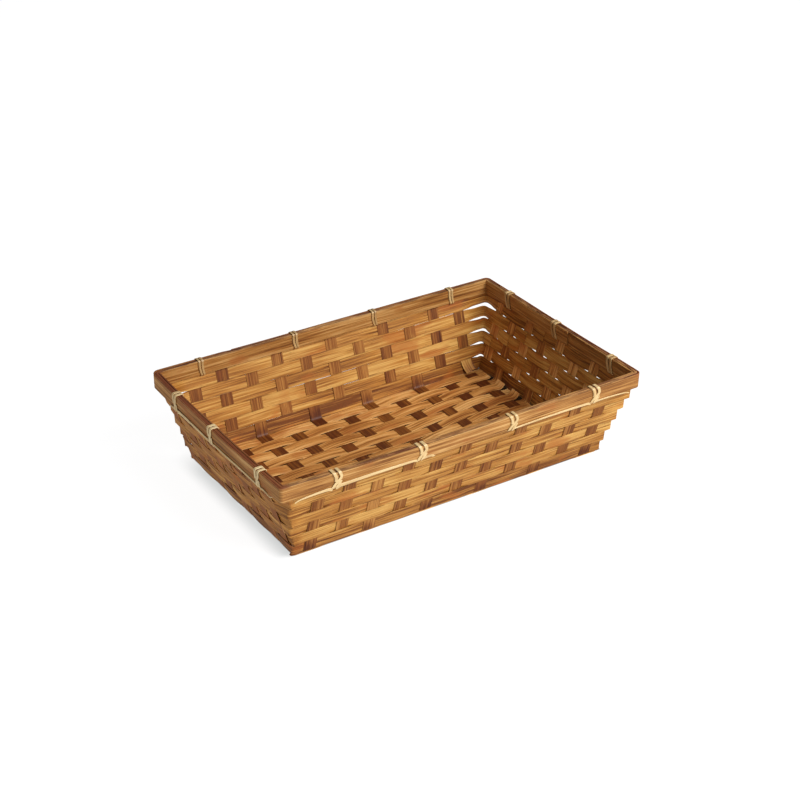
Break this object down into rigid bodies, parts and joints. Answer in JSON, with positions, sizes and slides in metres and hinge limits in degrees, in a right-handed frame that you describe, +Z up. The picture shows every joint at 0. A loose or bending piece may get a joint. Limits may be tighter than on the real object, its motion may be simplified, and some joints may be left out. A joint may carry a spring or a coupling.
{
  "type": "woven bread basket",
  "caption": "Shallow rectangular bread basket of flat bamboo splints in plain weave, with leaning walls and a banded rim lashed with pale cane.",
  "frame": {"origin": "centre of the face it rests on, under the middle of the base", "axes": "+X along the length, +Y to the back long wall, +Z up"},
  "size_m": [0.3522, 0.227, 0.0841],
  "materials": {
    "stake_splint": "satin",
    "row_splint": "satin",
    "weaver_splint": "satin",
    "rim_band": "satin",
    "rim_filler": "satin",
    "binding_cane": "matte"
  },
  "bodies": {
    "root": {"cross_stake_1": "stake_splint", "cross_stake_2": "stake_splint", "cross_stake_3": "stake_splint", "cross_stake_4": "stake_splint", "cross_stake_5": "stake_splint", "cross_stake_6": "stake_splint", "cross_stake_7": "stake_splint", "cross_stake_8": "stake_splint", "cross_stake_9": "stake_splint", "cross_stake_10": "stake_splint", "cross_stake_11": "stake_splint", "back_splice_stake": "stake_splint", "long_stake_1": "stake_splint", "long_stake_2": "stake_splint", "long_stake_3": "stake_splint", "long_stake_4": "stake_splint", "long_stake_5": "stake_splint", "long_stake_6": "stake_splint", "long_stake_7": "stake_splint", "long_stake_8": "stake_splint", "base_row_1": "row_splint", "base_row_2": "row_splint", "base_row_3": "row_splint", "base_row_4": "row_splint", "base_row_5": "row_splint", "base_row_6": "row_splint", "base_row_7": "row_splint", "weaver_1": "weaver_splint", "weaver_2": "weaver_splint", "weaver_3": "weaver_splint", "weaver_4": "weaver_splint", "weaver_5": "weaver_splint", "weaver_6": "weaver_splint", "rim_outer_band": "rim_band", "rim_inner_band": "rim_band", "rim_filler": "rim_filler", "tie_front_1": "binding_cane", "tie_front_2": "binding_cane", "tie_front_3": "binding_cane", "tie_front_4": "binding_cane", "tie_right_1": "binding_cane", "tie_right_2": "binding_cane", "tie_right_3": "binding_cane", "tie_back_1": "binding_cane", "tie_back_2": "binding_cane", "tie_back_3": "binding_cane", "tie_back_4": "binding_cane", "tie_left_1": "binding_cane", "tie_left_2": "binding_cane", "tie_left_3": "binding_cane", "cane_run_front": "binding_cane", "cane_run_right": "binding_cane", "cane_run_back": "binding_cane", "cane_run_left": "binding_cane"}
  },
  "joints": []
}
